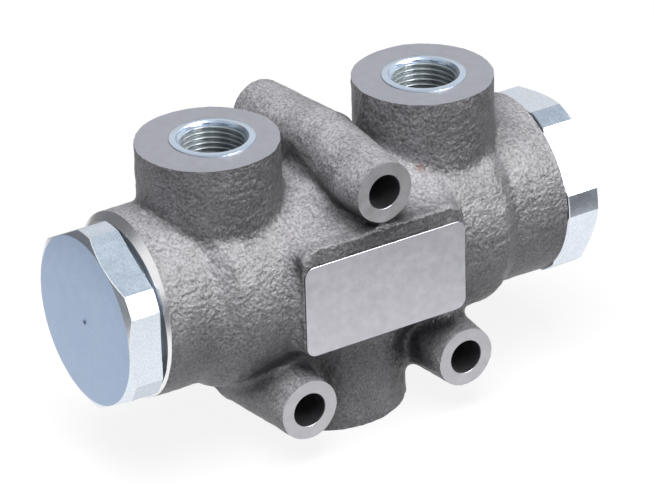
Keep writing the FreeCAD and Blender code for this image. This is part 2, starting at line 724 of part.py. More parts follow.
def make_spring(label, radius, wire, turns, start, end, side):
    body = new_body(label)
    closed = f"({wire} * 2 + closed_turn_gap)"
    add_turns(body, "first_turn", radius, wire, start, closed, "1")
    add_turns(
        body, "open_turns", radius, wire, f"({start} + {closed})", f"{end} - {start} - {closed} * 2", turns
    )
    add_turns(body, "last_turn", radius, wire, f"({end} - {closed})", closed, "1")
    ends = new_sketch(body, "ground_ends", "XZ_Plane")
    far = "bore_radius * 1.2"
    for place, outside in ((start, f"{start} - {wire} * 2"), (end, f"{end} + {wire} * 2")):
        add_outline(ends, [(place, f"-{far}"), (outside, f"-{far}"), (outside, far), (place, far)])
    extrude(body, "Pocket", "grinding", ends, "bore_radius * 3", symmetric=True)
    seat(body, turn=SIDE_TURN[side])


def make_valve():
    make_housing()
    for side in ("left", "right"):
        make_plug(f"end_plug_{side}", side)
        make_o_ring(f"plug_o_ring_{side}", side)
        make_backup_ring(f"plug_backup_ring_{side}", side)
    make_bush("port_a_bush", "outlet", f"-{PORT}", "port_face_height")
    make_bush("port_b_bush", "outlet", PORT, "port_face_height")
    make_bush("inlet_bush", "inlet", "0", "(-inlet_face_depth)", Rotation(Vector(1, 0, 0), 180))
    make_piston("piston_left", "left", cut_slot)
    make_piston("piston_right", "right", cut_tongue)
    for side in ("left", "right"):
        make_orifice(f"orifice_disc_{side}", side)
        make_clip(f"orifice_clip_{side}", side)
        make_spring(
            f"centring_spring_{side}", "end_spring_radius", "end_spring_wire",
            "end_spring_turns", f"({PISTON_END} + spring_gap)",
            f"({END_FACE} - spring_pocket_floor - spring_gap)", side,
        )
    disc_face = "(orifice_seat - orifice_thickness - spring_gap)"
    make_spring(
        "centre_spring", "centre_spring_radius", "centre_spring_wire",
        "centre_spring_turns", f"-{disc_face}", disc_face, "right",
    )


def check_and_write():
    doc.recompute()
    for item in doc.Objects:
        if any(state in ("Invalid", "Error") for state in item.State):
            raise RuntimeError(f"{item.Label} of {item.TypeId} failed: {item.State}")
    os.makedirs("parts", exist_ok=True)
    for body in subparts:
        shape = body.Shape
        if shape.isNull() or not shape.isValid() or not shape.Solids:
            raise RuntimeError(f"{body.Label} has no valid solid")
        shape.exportStep(f"parts/{body.Label}.step")
        box = shape.BoundBox
        print(
            f"{body.Label}: {len(shape.Solids)} solid, {shape.Volume:.0f} mm3, {len(shape.Faces)} faces,"
            f" x {box.XMin:.2f} {box.XMax:.2f} y {box.YMin:.2f} {box.YMax:.2f}"
            f" z {box.ZMin:.2f} {box.ZMax:.2f}"
        )


make_valve()
check_and_write()
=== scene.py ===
import itertools
import math

import bpy
import numpy as np
import openvdb
from mathutils import Matrix, Vector


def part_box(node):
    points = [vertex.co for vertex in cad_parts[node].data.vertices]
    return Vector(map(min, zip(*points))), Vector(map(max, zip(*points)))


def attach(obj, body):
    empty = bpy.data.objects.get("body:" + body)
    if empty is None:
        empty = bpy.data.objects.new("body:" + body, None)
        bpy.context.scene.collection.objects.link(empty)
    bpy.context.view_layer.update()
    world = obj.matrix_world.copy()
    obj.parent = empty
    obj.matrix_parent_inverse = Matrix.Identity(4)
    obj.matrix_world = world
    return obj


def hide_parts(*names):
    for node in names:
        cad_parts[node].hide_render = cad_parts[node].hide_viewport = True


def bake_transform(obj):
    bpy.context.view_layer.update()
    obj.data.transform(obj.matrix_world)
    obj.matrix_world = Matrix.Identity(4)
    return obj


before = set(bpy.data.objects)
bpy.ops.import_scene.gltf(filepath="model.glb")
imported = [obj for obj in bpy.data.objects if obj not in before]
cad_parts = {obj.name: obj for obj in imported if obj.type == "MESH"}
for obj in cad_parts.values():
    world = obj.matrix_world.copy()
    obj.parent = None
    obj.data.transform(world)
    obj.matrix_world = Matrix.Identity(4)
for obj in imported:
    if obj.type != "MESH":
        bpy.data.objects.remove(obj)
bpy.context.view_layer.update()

# The lengths below are in millimetres, from the middle of the valve on the piston axis, as in the
# CAD model: +X towards outlet B, +Y to the back, +Z out of the outlets. AXIS is in metres: the
# height of the piston axis in the frame.

MM = 0.001
AXIS = sum(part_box("piston_left"), Vector()).z / 2
CAST_LOW, CAST_HIGH = (
    np.array(corner - Vector((0, 0, AXIS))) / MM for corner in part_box("housing")
)
BODY_HALF, HALF_WIDTH, TOP_FACE = CAST_HIGH
INLET_FACE = CAST_LOW[2]


def centre_of(node):
    """The middle of a node's box, from the piston axis."""
    low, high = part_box(node)
    return np.array((low + high) / 2 - Vector((0, 0, AXIS))) / MM


def half_size(node):
    """Half the size of a node's box."""
    low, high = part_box(node)
    return np.array(high - low) / 2 / MM


PORT_X = centre_of("port_b_bush")[0]
OUTLET_BUSH_RADIUS = half_size("port_b_bush")[0]
INLET_BUSH_RADIUS = half_size("inlet_bush")[0]
BUSH_RISE = AXIS / MM + INLET_FACE  # over a boss, because the inlet's bush ends at the frame's 0

# The raw casting. Where a value differs between the ends, -1 is the left and 1 the right.

END_RADIUS = 22.0
BULGE_RADIUS = 24.5
BULGE_HALF = 35.5
SHOULDER = 6.5
VALLEY_X, VALLEY_DEPTH, VALLEY_WIDTH = 41.3, 0.45, 2.2
UPPER_REACH = 14.0  # below and above the axis, where the underside turns into the upper side
NECK_BACK, NECK_LIFT = 0.3, 0.9  # of the cast necks against the turned ends
LIFT_EVERYWHERE, LIFT_ABOVE = 0.3, 0.7  # shares of the lift all round and on the upper side
PORT_BOSS_RADIUS = 16.9
PORT_BOSS_SHIFT = {-1: 1.4, 1: 0.3}
INLET_BOSS_RADIUS = 19.5
INLET_BOSS_SHIFT = 0.9
FIXING_RADIUS = 9.6
FIXING_DRAFT = math.radians(4.7)
FIXING_HOLES = ((0.0, 25.1), (-21.9, -25.1), (21.9, -25.1))
FIXING_HOLE_RADIUS = 4.2
PAD_HALF_WIDTH = 22.0
PAD_HALF_HEIGHT = 11.5
PAD_CORNER = 2.5
PAD_STEP = 0.3
BLOCK_RIM, BLOCK_TOP_RIM = 0.1, 4.3  # beyond the pad
BLOCK_HALF_WIDTH = PAD_HALF_WIDTH + BLOCK_RIM
BLOCK_FOOT = -PAD_HALF_HEIGHT - BLOCK_RIM
BLOCK_TOP = PAD_HALF_HEIGHT + BLOCK_TOP_RIM
BLOCK_CORNER = 4.0
BLOCK_EDGE = 0.9
BLOCK_DRAFT = math.radians(3.0)
OUTLET_BLEND = 1.3
INLET_BLEND = 3.5
FIXING_BLEND = 3.0
BLOCK_BLEND = 2.6


def smooth_step(share):
    share = np.clip(share, 0, 1)
    return share * share * (3 - 2 * share)


def blended(first, second, radius):
    """The union of two forms, given by their distances, with a round fillet between them."""
    gap = np.hypot(np.maximum(radius - first, 0), np.maximum(radius - second, 0))
    return np.maximum(radius, np.minimum(first, second)) - gap


def barrel_distance(x, y, z):
    """The form round the pistons. Its cast necks lie a little off the turned ends, and a shallow
    valley runs round their upper side."""
    shoulder = smooth_step((np.abs(x) - BULGE_HALF) / SHOULDER)
    upper = np.clip(z / UPPER_REACH, -1, 1) / 2 + 0.5
    valley = VALLEY_DEPTH * upper * np.exp(-(((np.abs(x) - VALLEY_X) / VALLEY_WIDTH) ** 2))
    lift = NECK_LIFT * (LIFT_EVERYWHERE + LIFT_ABOVE * upper)
    across = np.hypot(y - NECK_BACK * shoulder, z - lift * shoulder)
    return across - BULGE_RADIUS + (BULGE_RADIUS - END_RADIUS) * shoulder + valley


def block_distance(x, y, z):
    """The cast block in front, which tapers towards its face."""
    face = HALF_WIDTH - PAD_STEP
    corner = np.where(z > 0, BLOCK_CORNER, PAD_CORNER)
    growth = (y + face) * math.tan(BLOCK_DRAFT) - corner
    over_x = np.abs(x) - BLOCK_HALF_WIDTH - growth
    over_z = np.where(z > 0, z - BLOCK_TOP, BLOCK_FOOT - z) - growth
    outside = np.hypot(np.maximum(over_x, 0), np.maximum(over_z, 0))
    sides = outside + np.minimum(np.maximum(over_x, over_z), 0) - corner
    return np.maximum(-blended(-sides, y + face, BLOCK_EDGE), y)


def outlet_boss_distance(x, y, side):
    return np.hypot(x - side * PORT_X + PORT_BOSS_SHIFT[side], y) - PORT_BOSS_RADIUS


def casting_distance(x, y, z):
    """How far a point lies outside the raw casting, whose faces aren't cut yet."""
    form = blended(barrel_distance(x, y, z), block_distance(x, y, z), BLOCK_BLEND)
    for side in PORT_BOSS_SHIFT:
        boss = outlet_boss_distance(x, y, side)
        form = blended(form, np.maximum(boss, -z), OUTLET_BLEND)
    boss = np.hypot(x + INLET_BOSS_SHIFT, y) - INLET_BOSS_RADIUS
    form = blended(form, np.maximum(boss, z), INLET_BLEND)
    for hole_x, hole_z in FIXING_HOLES:
        radius = FIXING_RADIUS - np.abs(y) * math.tan(FIXING_DRAFT)
        cone = (np.hypot(x - hole_x, z - hole_z) - radius) * math.cos(FIXING_DRAFT)
        form = blended(form, cone, FIXING_BLEND)
    return form


# The casting's surface. A layer of grain has a height, a size and a seed. The fixing bosses carry
# less of the fine grain and a higher parting line, and the necks less of everything.

COARSE_GRAIN = ((0.16, 9.0, 1), (0.10, 3.6, 2))
FINE_GRAIN = ((0.10, 1.5, 3), (0.085, 0.85, 4))
FINE_LOSS_ON_FIXING = 0.45
FIXING_EDGE, FIXING_FADE = 0.3, 1.5
PARTING_WIDTH, PARTING_HEIGHT, PARTING_ON_FIXING = 0.45, 0.08, 0.17
LOSS_AT_ENDS = 0.8
CALM_ENDS, CALM_FADE = 7, 5
HASH_PRIMES = (73856093, 19349663, 83492791, 40503)
HASH_FACTOR = 1274126177
BITS_32, BITS_16 = 0xFFFFFFFF, 0xFFFF


def hashed(ix, iy, iz, seed):
    """A fixed random number from -1 to 1 for each point of a lattice."""
    mixed = 0
    for value, prime in zip((ix, iy, iz, seed), HASH_PRIMES):
        mixed = mixed ^ (value * prime)
    mixed = ((mixed ^ (mixed >> 13)) * HASH_FACTOR) & BITS_32
    return ((mixed ^ (mixed >> 16)) & BITS_16) / (BITS_16 / 2) - 1


def grain(points, cell, seed):
    """Heights from -1 to 1 that vary smoothly over cells of this size."""
    scaled = points / cell
    base = np.floor(scaled).astype(np.int64)
    share = smooth_step(scaled - base)
    total = np.zeros(len(points))
    for corner in itertools.product((0, 1), repeat=3):
        weight = np.prod(np.where(corner, share, 1 - share), axis=1)
        total += weight * hashed(*(base + np.array(corner)).T, seed)
    return total


def cast_relief(points):
    """The height of the sand mould's grain and of the parting line over the smooth casting."""
    x, y, z = points.T
    on_fixing = np.zeros(len(points))
    for hole_x, hole_z in FIXING_HOLES:
        near = np.hypot(x - hole_x, z - hole_z) - FIXING_RADIUS
        on_fixing = np.maximum(on_fixing, 1 - smooth_step((near - FIXING_EDGE) / FIXING_FADE))
    coarse, fine = (
        sum(height * grain(points, cell, seed) for height, cell, seed in layers)
        for layers in (COARSE_GRAIN, FINE_GRAIN)
    )
    ridge = np.exp(-((y / PARTING_WIDTH) ** 2)) * (PARTING_HEIGHT + PARTING_ON_FIXING * on_fixing)
    at_end = smooth_step((np.abs(x) - BODY_HALF + CALM_ENDS) / CALM_FADE)
    fine = fine * (1 - FINE_LOSS_ON_FIXING * on_fixing)
    return (coarse + fine + ridge) * (1 - LOSS_AT_ENDS * at_end)


# Painted shade in the casting's corners and hollows: how far it looks for walls, what faces that
# look up lose of it, what the block's top band gains as a painted shadow (in front of FRONT_START),
# and what the sides of the outlets' bosses lose above their roots.

SHADE_REACHES = (2.0, 4.0, 8.0, 14.0)
SHADE_LOSS_UPWARDS = 0.7
BAND_SHADE, BAND_DROP, BAND_HALF, BAND_MARGIN = 0.14, 2.0, 3.5, 1.0
FRONT_START = BULGE_RADIUS - 1.5
BOSS_SHADE_LOSS, BOSS_NEAR = 0.6, 0.6
BOSS_ROOT, BOSS_FADE = 12, 8


def painted_shade_share(points, normals):
    """How much painted shade a point of the casting gets: 0 on an open side, 1 in a corner that
    faces down."""
    total = np.zeros(len(points))
    for reach in SHADE_REACHES:
        clearance = casting_distance(*(points + normals * reach).T)
        total += np.clip(1 - clearance / reach, 0, 1)
    # Faces that look up get less painted shade.
    upwards = np.clip(normals[:, 2], 0, 1)
    share = total / len(SHADE_REACHES) * (1 - SHADE_LOSS_UPWARDS * upwards)
    x, y, z = points.T
    # A painted shadow along the block's top band, over the pad.
    in_band = np.abs(z - BLOCK_TOP + BAND_DROP) < BAND_HALF
    on_block = (np.abs(x) < BLOCK_HALF_WIDTH + BAND_MARGIN) & in_band
    share += BAND_SHADE * smooth_step(-y - FRONT_START) * on_block
    # Less painted shade on the sides of the outlets' bosses above their roots.
    for side in PORT_BOSS_SHIFT:
        on_boss = np.abs(outlet_boss_distance(x, y, side)) < BOSS_NEAR
        share *= 1 - BOSS_SHADE_LOSS * on_boss * smooth_step((z - BOSS_ROOT) / BOSS_FADE)
    return share


GRID = 0.42
GRID_BAND = 3 * GRID
CAST_MARGIN = 0.9  # of the raw casting over the faces that are cut later
SLOPE_STEP = 0.05
LEAST_SLOPE_SQUARE = 0.2
SETTLING_ROUNDS = 3


def casting_slope(points):
    """How fast casting_distance grows along X, Y and Z."""
    rises = [
        casting_distance(*(points + offset).T) - casting_distance(*(points - offset).T)
        for offset in np.eye(3) * SLOPE_STEP
    ]
    return np.stack(rises, axis=1) / (2 * SLOPE_STEP)


def casting_mesh():
    """The rough casting as a closed mesh: the zero level of casting_distance, then its grain."""
    low, high = CAST_LOW - CAST_MARGIN, CAST_HIGH + CAST_MARGIN
    axes = [np.arange(a - GRID_BAND, b + GRID_BAND, GRID) for a, b in zip(low, high)]
    field = np.empty([len(axis) for axis in axes], np.float32)
    y, z = np.meshgrid(axes[1], axes[2], indexing="ij")
    trim_yz = np.maximum.reduce([low[1] - y, y - high[1], low[2] - z, z - high[2]])
    for index, x in enumerate(axes[0]):
        trim = np.maximum(trim_yz, max(low[0] - x, x - high[0]))
        field[index] = np.maximum(casting_distance(x, y, z), trim)
    grid = openvdb.FloatGrid(background=GRID_BAND)
    grid.copyFromArray(np.clip(field, -GRID_BAND, GRID_BAND))
    points, quads = grid.convertToQuads(isovalue=0)
    points = points.astype(float) * GRID + [axis[0] for axis in axes]

    for _ in range(SETTLING_ROUNDS):
        value = casting_distance(*points.T)
        slope = casting_slope(points)
        slope_square = np.maximum((slope ** 2).sum(1), LEAST_SLOPE_SQUARE)
        inside = ((points > low + GRID) & (points < high - GRID)).all(1)
        move = -slope * (value / slope_square)[:, None]
        points = points + np.clip(move, -GRID, GRID) * inside[:, None]
    normals = slope / np.sqrt(slope_square)[:, None]
    points = points + normals * (cast_relief(points) * inside)[:, None]

    mesh = bpy.data.meshes.new("casting")
    mesh.from_pydata(points, [], quads.tolist())
    mesh.validate()
    return mesh


# Meshes. Each is made in millimetres about the piston axis, then moved into the frame.

ALONG_X = Matrix.Rotation(math.pi / 2, 4, "Y")
ALONG_Y = Matrix.Rotation(-math.pi / 2, 4, "X")
UPSIDE_DOWN = Matrix.Rotation(math.pi, 4, "X")


def add_object(name, mesh):
    made = bpy.data.objects.new(name, mesh)
    bpy.context.scene.collection.objects.link(made)
    return made


def to_frame(mesh):
    mesh.transform(Matrix.Translation((0, 0, AXIS)) @ Matrix.Scale(MM, 4))


def even_angles(count):
    return np.linspace(0, math.tau, count, endpoint=False)


def quads_between(low, high, count):
    """The faces between two rings of points, whose first points have these indices."""
    following = [*range(1, count), 0]
    return [(low + i, low + j, high + j, high + i) for i, j in enumerate(following)]


def lathe(rows, angles, turn):
    """A closed mesh of revolution about its own Z axis. Each row holds a height and a radius,
    which may be arrays over the angles. The first and last rows are closed off."""
    count, last = len(angles), len(rows) - 1
    ring = np.stack([np.cos(angles), np.sin(angles)], axis=1)
    points, faces = [], []
    for height, radius in rows:
        radius = np.broadcast_to(radius, count)
        height = np.broadcast_to(height, count)
        points.append(np.column_stack([ring * radius[:, None], height]))
    for row in range(last):
        faces += quads_between(row * count, (row + 1) * count, count)
    faces.append(tuple(range(count))[::-1])
    faces.append(tuple(range(last * count, (last + 1) * count)))
    mesh = bpy.data.meshes.new("lathe")
    mesh.from_pydata(np.concatenate(points), [], faces)
    mesh.transform(turn)
    return mesh


def ring_mesh(rows, angles, turn):
    """As lathe, but the last row joins the first, so that the form is a ring."""
    mesh = lathe(rows, angles, turn)
    faces = [tuple(p.vertices) for p in mesh.polygons][:-2]
    faces += quads_between((len(rows) - 1) * len(angles), 0, len(angles))
    points = [v.co.copy() for v in mesh.vertices]
    made = bpy.data.meshes.new("ring")
    made.from_pydata(points, [], faces)
    return made


def box_mesh(low, high):
    mesh = bpy.data.meshes.new("box")
    corners = list(itertools.product(*zip(low, high)))
    faces = [(0, 1, 3, 2), (4, 6, 7, 5), (0, 4, 5, 1), (2, 3, 7, 6), (0, 2, 6, 4), (1, 5, 7, 3)]
    mesh.from_pydata(corners, [], faces)
    return mesh


def boolean(base, tool_mesh, operation):
    """Cuts base with a closed mesh, joins them, or keeps what both hold."""
    tool = add_object("tool", tool_mesh)
    cut = base.modifiers.new("cut", "BOOLEAN")
    cut.object, cut.operation, cut.solver = tool, operation, "MANIFOLD"
    made = bpy.data.meshes.new_from_object(
        base.evaluated_get(bpy.context.evaluated_depsgraph_get())
    )
    base.modifiers.clear()
    base.data = made
    bpy.data.objects.remove(tool)


# Machining of the casting

BORE_RADIUS = 10.0
CHAMBER_RADIUS = 13.5
INLET_CHAMBER_HALF = 8.0
OUTLET_CHAMBER_HALF = 3.0
PLUG_THREAD_RADIUS = 15.93
PLUG_THREAD_LENGTH = 9.0
SEAL_BORE_RADIUS = 13.02
NOSE_LENGTH = 7.2
OUTLET_BUSH_LENGTH = 12.0
INLET_BUSH_LENGTH = 14.0
OUTLET_DRILL_RADIUS = 5.5
INLET_DRILL_RADIUS = 7.0
DRILL_INTO_CHAMBER = 1.3
SEAT_GAP = 0.03
BEYOND = 2.0
END_CHAMFER = {-1: 1.0, 1: 0.25}
CHAMFER_CONE = 3
HOLE_CHAMFER = 0.12
PAD_BEVEL = 0.05
PAD_CORNER_POINTS = 9
END_SEGMENTS, BORE_SEGMENTS, HOLE_SEGMENTS = 192, 96, 72


def end_turning():
    """All that the lathe leaves of the casting: its ends get a flat face and a chamfer, whose cone
    runs out beyond the raw surface."""
    left, right = [
        [
            (side * (BODY_HALF - CHAMFER_CONE * chamfer), 3 * TOP_FACE),
            (
                side * (BODY_HALF - CHAMFER_CONE * chamfer),
                END_RADIUS + (CHAMFER_CONE - 1) * chamfer,
            ),
            (side * BODY_HALF, END_RADIUS - chamfer),
        ]
        for side, chamfer in END_CHAMFER.items()
    ]
    return lathe(left[::-1] + right, even_angles(END_SEGMENTS), ALONG_X)


def pad_mesh():
    """The milled pad: a plate with rounded corners and a broken edge."""
    turns = np.radians(np.linspace(0, 90, PAD_CORNER_POINTS))
    inner_x, inner_z = PAD_HALF_WIDTH - PAD_CORNER, PAD_HALF_HEIGHT - PAD_CORNER
    outline = []
    for quarter, (side_x, side_z) in enumerate(((1, 1), (-1, 1), (-1, -1), (1, -1))):
        for turn in turns + quarter * math.pi / 2:
            outline.append((side_x * inner_x, side_z * inner_z, math.cos(turn), math.sin(turn)))
    middle_x, middle_z, along_x, along_z = np.array(outline).T
    count = len(middle_x)
    rows = (
        (PAD_STEP * 2 - HALF_WIDTH, PAD_CORNER),
        (PAD_BEVEL - HALF_WIDTH, PAD_CORNER),
        (-HALF_WIDTH, PAD_CORNER - PAD_BEVEL),
    )
    points = []
    for y, radius in rows:
        rim_x, rim_z = middle_x + radius * along_x, middle_z + radius * along_z
        points.append(np.column_stack([rim_x, np.full(count, y), rim_z]))
    faces = [tuple(range(count)), tuple(range(2 * count, 3 * count))[::-1]]
    for row in range(len(rows) - 1):
        for a, b, c, d in quads_between(row * count, (row + 1) * count, count):
            faces.append((b, a, d, c))
    mesh = bpy.data.meshes.new("pad")
    mesh.from_pydata(np.concatenate(points), [], faces)
    return mesh


def mirrored(half):
    """Rows from one end to the other, given those from the far end to the middle."""
    return [(-height, radius) for height, radius in half] + half[::-1]


def bore_cutter():
    thread_end = BODY_HALF - PLUG_THREAD_LENGTH
    rows = mirrored([
        (BODY_HALF + BEYOND, PLUG_THREAD_RADIUS),
        (thread_end, PLUG_THREAD_RADIUS),
        (thread_end, SEAL_BORE_RADIUS),
        (thread_end - NOSE_LENGTH, SEAL_BORE_RADIUS),
        (thread_end - NOSE_LENGTH, BORE_RADIUS),
        (PORT_X + OUTLET_CHAMBER_HALF, BORE_RADIUS),
        (PORT_X + OUTLET_CHAMBER_HALF, CHAMBER_RADIUS),
        (PORT_X - OUTLET_CHAMBER_HALF, CHAMBER_RADIUS),
        (PORT_X - OUTLET_CHAMBER_HALF, BORE_RADIUS),
        (INLET_CHAMBER_HALF, BORE_RADIUS),
        (INLET_CHAMBER_HALF, CHAMBER_RADIUS),
    ])
    return lathe(rows, even_angles(BORE_SEGMENTS), ALONG_X)


def drill_cutter(x, face, seat_radius, seat_depth, drill_radius):
    """A bush's seat and the drilling below it, down into the chamber round the bore."""
    rows = [
        (CHAMBER_RADIUS - DRILL_INTO_CHAMBER, drill_radius),
        (abs(face) - seat_depth, drill_radius),
        (abs(face) - seat_depth, seat_radius),
        (abs(face) + BEYOND, seat_radius),
    ]
    turn = Matrix.Identity(4) if face > 0 else UPSIDE_DOWN
    return lathe(rows, even_angles(BORE_SEGMENTS), Matrix.Translation((x, 0, 0)) @ turn)


def outlet_cutter(x):
    seat_radius = OUTLET_BUSH_RADIUS + SEAT_GAP
    return drill_cutter(x, TOP_FACE, seat_radius, OUTLET_BUSH_LENGTH, OUTLET_DRILL_RADIUS)


def inlet_cutter():
    seat_radius = INLET_BUSH_RADIUS + SEAT_GAP
    return drill_cutter(0, INLET_FACE, seat_radius, INLET_BUSH_LENGTH, INLET_DRILL_RADIUS)


def hole_cutter(x, z):
    """A fixing hole with broken edges at both faces."""
    rows = mirrored([
        (HALF_WIDTH + BEYOND, FIXING_HOLE_RADIUS + HOLE_CHAMFER),
        (HALF_WIDTH, FIXING_HOLE_RADIUS + HOLE_CHAMFER),
        (HALF_WIDTH - HOLE_CHAMFER, FIXING_HOLE_RADIUS),
    ])
    return lathe(rows, even_angles(HOLE_SEGMENTS), Matrix.Translation((x, 0, z)) @ ALONG_Y)


# Shader nodes. The sizes and depths of textures are in millimetres, too.

NOISE_RANGE = (0.3, 0.7)


def add_node(tree, kind, inputs=None, **settings):
    """A shader node. Inputs hold values, or the sockets to link from."""
    made = tree.nodes.new("ShaderNode" + kind)
    for key, value in settings.items():
        setattr(made, key, value)
    for key, value in (inputs or {}).items():
        if isinstance(value, bpy.types.NodeSocket):
            tree.links.new(value, made.inputs[key])
        else:
            made.inputs[key].default_value = value
    return made


def new_material(name):
    material = bpy.data.materials.new(name)
    material.use_nodes = True
    tree = material.node_tree
    place = tree.nodes.new("ShaderNodeTexCoord").outputs["Object"]
    return material, tree, tree.nodes["Principled BSDF"], place


def set_shader(tree, shader, **values):
    for key, value in values.items():
        socket = shader.inputs[key.replace("_", " ")]
        if isinstance(value, bpy.types.NodeSocket):
            tree.links.new(value, socket)
        else:
            socket.default_value = value


def computed(tree, operation, *values):
    """The result of a Math node."""
    return add_node(tree, "Math", dict(enumerate(values)), operation=operation).outputs[0]


def summed(tree, first, second, weight):
    """first + second * weight"""
    return computed(tree, "MULTIPLY_ADD", second, weight, first)


def product(tree, *factors):
    total = factors[0]
    for factor in factors[1:]:
        total = computed(tree, "MULTIPLY", total, factor)
    return total


def mapped(tree, value, taken, given=(0, 1)):
    """The value carried from one range to another, and held inside it."""
    inputs = {"Value": value}
    inputs["From Min"], inputs["From Max"] = taken
    inputs["To Min"], inputs["To Max"] = given
    return add_node(tree, "MapRange", inputs).outputs["Result"]


def mixed_colour(tree, share, first, second):
    """A blend of two colours, each a socket or a red, green and blue. They are the Mix node's
    inputs 6 and 7, and its output 2."""
    first, second = (
        colour if isinstance(colour, bpy.types.NodeSocket) else (*colour, 1)
        for colour in (first, second)
    )
    return add_node(tree, "Mix", {0: share, 6: first, 7: second}, data_type="RGBA").outputs[2]


def noise_at(tree, place, size, detail=2.0, roughness=0.5):
    """Noise whose lumps are about this large."""
    return add_node(
        tree, "TexNoise",
        {"Vector": place, "Scale": 1 / (size * MM), "Detail": detail, "Roughness": roughness},
    ).outputs["Fac"]


def bumped(tree, height, strength, depth, under=None):
    inputs = {"Height": height, "Strength": strength, "Distance": depth * MM}
    if under:
        inputs["Normal"] = under
    return add_node(tree, "Bump", inputs).outputs["Normal"]


def distance_from(tree, place, point, flatten=(1, 1, 1)):
    """The distance from a point, without the axes that flatten holds a 0 for."""
    centre = (Vector(point) * MM) + Vector((0, 0, AXIS))
    shifted = add_node(tree, "VectorMath", {0: place, 1: tuple(centre)}, operation="SUBTRACT")
    scaled = add_node(
        tree, "VectorMath", {0: shifted.outputs[0], 1: [f / MM for f in flatten]},
        operation="MULTIPLY",
    )
    return add_node(
        tree, "VectorMath", {0: scaled.outputs[0]}, operation="LENGTH"
    ).outputs["Value"]


# Materials

SKIN_DARK, SKIN_LIGHT = (0.22, 0.217, 0.235), (0.60, 0.59, 0.63)
# The colour of the painted shade in the casting's corners and hollows.
CORNER_SHADE_COLOUR = (0.03, 0.03, 0.035)
# The colour of the painted shade on the sides of the outlets' bosses.
BOSS_SHADE_COLOUR = (0.07, 0.07, 0.075)
RUST, RUST_SPOT = (0.22, 0.065, 0.035), (PORT_X - 10.5, -13.7, 20.3)
PIT_SIZE = 1.2
SPECKLE_RANGE = (0.52, 0.88)
CORNER_SHADE_SHARE = (0.08, 0.5), (0, 0.9)
RUST_SHARE = (0.3, 1.6), (0.75, 0)
SKIN_ROUGHNESS, MACHINED_ROUGHNESS = (0.36, 0.5), (0.34, 0.44)
CRYSTAL_RANGE, HAZE_RANGE = (0.95, 1.5), (0.4, 0.8)
# How much painted shade each outlet boss's side gets, and the heights and reaches where it starts
# and ends.
BOSS_SIDE_SHADE = {-1: 0.42, 1: 0.25}
SHADE_START, SHADE_FULL = 10, 14
SHADE_INNER, SHADE_OUTER = 0.4, 1.0


def boss_side_shade_share(tree, place):
    """How much painted shade darkens the skin round the outlets' bosses."""
    height = add_node(tree, "SeparateXYZ", {0: place}).outputs["Z"]
    levels = ((AXIS / MM + SHADE_START) * MM, (AXIS / MM + SHADE_FULL) * MM)
    over_root = mapped(tree, height, levels)
    shares = []
    for side, side_shade in BOSS_SIDE_SHADE.items():
        centre = (side * PORT_X - PORT_BOSS_SHIFT[side], 0, 0)
        away = distance_from(tree, place, centre, flatten=(1, 1, 0))
        reach = (PORT_BOSS_RADIUS + SHADE_INNER, PORT_BOSS_RADIUS + SHADE_OUTER)
        shares.append(mapped(tree, away, reach, (side_shade, 0)))
    return product(tree, computed(tree, "MAXIMUM", *shares), over_root)


def cast_iron_skin():
    """Sand-cast iron: speckled, with painted shade in its corners and on the sides of the outlets'
    bosses, and one spot of rust.
    """
    material, tree, shader, place = new_material("cast_iron_skin")
    speckle = noise_at(tree, place, size=0.65, detail=3, roughness=0.55)
    patches = noise_at(tree, place, size=7, detail=3)
    share = mapped(tree, summed(tree, speckle, patches, weight=0.4), SPECKLE_RANGE)
    colour = mixed_colour(tree, share, SKIN_DARK, SKIN_LIGHT)
    # Painted shade in the corners and hollows, from the share stored on the mesh.
    painted_shade = add_node(tree, "Attribute", attribute_name="painted_shade").outputs["Fac"]
    colour = mixed_colour(tree, mapped(tree, painted_shade, *CORNER_SHADE_SHARE), colour, CORNER_SHADE_COLOUR)
    # Painted shade on the sides of the outlets' bosses.
    colour = mixed_colour(tree, boss_side_shade_share(tree, place), colour, BOSS_SHADE_COLOUR)
    rust = mapped(tree, distance_from(tree, place, RUST_SPOT), *RUST_SHARE)
    colour = mixed_colour(tree, rust, colour, RUST)
    pits = add_node(
        tree, "TexVoronoi", {"Vector": place, "Scale": 1 / (PIT_SIZE * MM), "Randomness": 1.0}
    ).outputs["Distance"]
    coarse = bumped(tree, pits, strength=0.6, depth=0.35)
    set_shader(
        tree, shader, Base_Color=colour, Specular_IOR_Level=0.5,
        Normal=bumped(tree, speckle, strength=0.9, depth=0.35, under=coarse),
        Roughness=mapped(tree, speckle, NOISE_RANGE, SKIN_ROUGHNESS),
    )
    return material


def machined_iron(name, colour, point, along, pitch):
    """Machined iron with fine cutter marks in rings about a point, seen along an axis."""
    material, tree, shader, place = new_material(name)
    flatten = [0 if axis == along else 1 for axis in "XYZ"]
    radius = distance_from(tree, place, point, flatten)
    rings = computed(tree, "SINE", product(tree, radius, math.tau / pitch))
    marks = summed(tree, rings, noise_at(tree, place, size=0.4), weight=1.2)
    cloud = noise_at(tree, place, size=2.5, detail=4, roughness=0.6)
    tone = mapped(tree, cloud, NOISE_RANGE)
    set_shader(
        tree, shader, Metallic=0.85,
        Base_Color=mixed_colour(tree, tone, toned(colour, 0.86), colour),
        Roughness=mapped(tree, cloud, NOISE_RANGE, MACHINED_ROUGHNESS),
        Normal=bumped(tree, marks, strength=0.12, depth=0.03),
    )
    return material


def toned(colour, share):
    """The colour, this many times as light."""
    return tuple(min(c * share, 1) for c in colour)


def around(roughness):
    """A range 20 % to each side of a roughness."""
    return roughness * 0.8, roughness * 1.2


